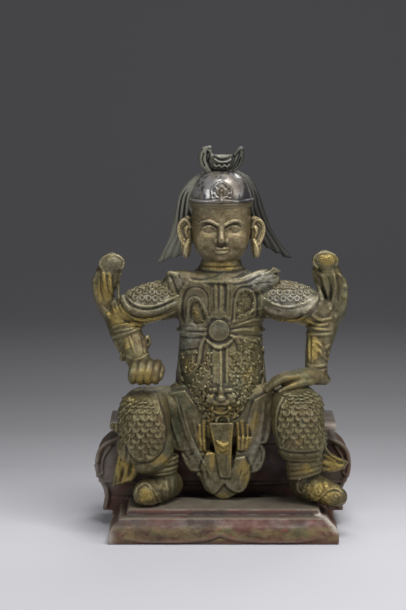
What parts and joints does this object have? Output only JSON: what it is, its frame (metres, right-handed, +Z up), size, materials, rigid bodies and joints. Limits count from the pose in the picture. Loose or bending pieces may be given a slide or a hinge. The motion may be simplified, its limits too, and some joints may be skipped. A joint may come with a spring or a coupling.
{
  "type": "warrior deity statuette",
  "caption": "Seated armoured warrior deity with helmet, flying sleeves and layered skirt, on a waisted throne with a stepped plinth.",
  "frame": {"origin": "centre of the plinth's underside, which lies in the plane z = 0", "axes": "+Z up; the figure faces -Y; +X is to the right of someone looking at its face"},
  "size_m": [0.2592, 0.16, 0.3802],
  "materials": {
    "bronze": "cast bronze with a worn olive-brown patina and traces of gilding",
    "lacquered_bronze": "cast bronze under worn red-brown lacquer with green and ochre staining"
  },
  "bodies": {
    "root": {"figure": "bronze", "throne": "lacquered_bronze"}
  },
  "joints": []
}
